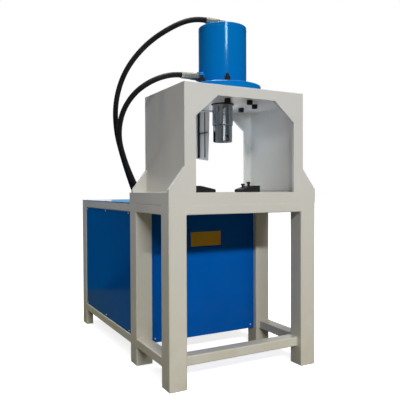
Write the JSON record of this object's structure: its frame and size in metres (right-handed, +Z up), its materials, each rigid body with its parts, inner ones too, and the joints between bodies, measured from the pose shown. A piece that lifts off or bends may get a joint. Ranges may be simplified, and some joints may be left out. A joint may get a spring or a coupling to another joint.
{
  "type": "hydraulic hole punching machine",
  "caption": "Floor-standing hydraulic punch: a welded table with a portal head and vertical cylinder, and a closed power pack cabinet behind.",
  "frame": {"origin": "on the floor under the middle of the machine, hoses not counted", "axes": "+X to the right seen from the front, +Y from the front to the back, +Z up"},
  "size_m": [0.8205, 1.27, 1.5885],
  "materials": {
    "frame_paint": "satin off-white paint",
    "panel_blue": "semi-gloss blue paint",
    "cylinder_blue": "gloss blue paint",
    "label_yellow": "satin yellow",
    "ram_steel": "ground and oiled",
    "zinc": "yellowish zinc plate",
    "black_oxide": "black oxide",
    "hose_rubber": "matt rubber",
    "bronze": "turned bronze",
    "seal": "matt rubber",
    "tank_paint": "satin grey paint",
    "motor_paint": "painted casting",
    "rotor_steel": "machined",
    "pump_metal": "machined casting",
    "valve_metal": "machined block",
    "box_paint": "satin grey paint",
    "trunking": "matt",
    "button_green": "gloss",
    "button_red": "gloss"
  },
  "bodies": {
    "frame": {"front_plate": "frame_paint", "rear_plate": "frame_paint", "left_side_plate": "frame_paint", "right_side_plate": "frame_paint", "crown_plate": "frame_paint", "bed_plate": "frame_paint", "front_left_leg": "frame_paint", "front_right_leg": "frame_paint", "rear_left_leg": "frame_paint", "rear_right_leg": "frame_paint", "table_rails": "frame_paint", "front_stretcher": "frame_paint", "left_stretcher": "frame_paint", "right_stretcher": "frame_paint", "rear_posts": "frame_paint", "cabinet_rails": "frame_paint", "front_panel": "panel_blue", "left_panel": "panel_blue", "right_panel": "panel_blue", "rear_panel": "panel_blue", "top_panel": "panel_blue", "cylinder_barrel": "cylinder_blue", "cylinder_flange": "cylinder_blue", "cylinder_end_cap": "cylinder_blue", "label_plate": "label_yellow", "panel_screws": "zinc", "upper_port_elbow": "zinc", "lower_port_adapter": "zinc", "upper_hose_ends": "zinc", "lower_hose_ends": "zinc", "pump_pipes": "zinc", "flange_bolts": "black_oxide", "die_clamp_bolts": "black_oxide", "upper_hose": "hose_rubber", "lower_hose": "hose_rubber", "hose_grommets": "hose_rubber", "gland_bush": "bronze", "wiper_ring": "seal", "oil_tank": "tank_paint", "motor_body": "motor_paint", "bell_housing": "motor_paint", "pump_body": "pump_metal", "valve_block": "valve_metal", "control_box_body": "box_paint", "control_box_hanger": "box_paint", "cable_trunking": "trunking"},
    "ram": {"piston_rod": "ram_steel", "piston": "ram_steel", "piston_seals": "seal", "tool_holder": "ram_steel", "tool_set_screw": "black_oxide"},
    "left_clamp": {"left_die_clamp": "black_oxide"},
    "right_clamp": {"right_die_clamp": "black_oxide"},
    "control_door": {"control_box_door": "box_paint"},
    "start": {"start_button": "button_green"},
    "stop": {"stop_button": "button_red"},
    "estop": {"emergency_stop": "button_red"},
    "rotor": {"motor_rotor": "rotor_steel", "pump_drive_gear": "rotor_steel"},
    "driven_gear": {"pump_driven_gear": "rotor_steel"}
  },
  "joints": [
    {"name": "ram_slide", "type": "slide", "parent": "frame", "child": "ram", "axis": [0, 0, -1], "range_m": [0, 0.15]},
    {"name": "left_clamp_slide", "type": "slide", "parent": "frame", "child": "left_clamp", "axis": [1, 0, 0], "range_m": [-0.038, 0.015]},
    {"name": "right_clamp_slide", "type": "slide", "parent": "frame", "child": "right_clamp", "axis": [1, 0, 0], "range_m": [-0.028, 0.01]},
    {"name": "control_door_hinge", "type": "hinge", "parent": "frame", "child": "control_door", "pos_m": [0.0875, -0.002, 1.1], "axis": [0, 0, 1], "range_deg": [0, 110]},
    {"name": "start_press", "type": "slide", "parent": "control_door", "child": "start", "axis": [-1, 0, 0], "range_m": [0, 0.004], "stiffness_N_per_m": 500},
    {"name": "stop_press", "type": "slide", "parent": "control_door", "child": "stop", "axis": [-1, 0, 0], "range_m": [0, 0.004], "stiffness_N_per_m": 500},
    {"name": "estop_press", "type": "slide", "parent": "control_door", "child": "estop", "axis": [-1, 0, 0], "range_m": [0, 0.004]},
    {"name": "motor_spin", "type": "hinge", "parent": "frame", "child": "rotor", "pos_m": [0.09, 0.19, 0.512], "axis": [0, 1, 0], "continuous": true},
    {"name": "driven_gear_spin", "type": "hinge", "parent": "frame", "child": "driven_gear", "pos_m": [0.09, 0.035, 0.554], "axis": [0, 1, 0], "continuous": true}
  ],
  "couplings": [
    {"joint": "driven_gear_spin", "follows": "motor_spin", "ratio": -1}
  ]
}
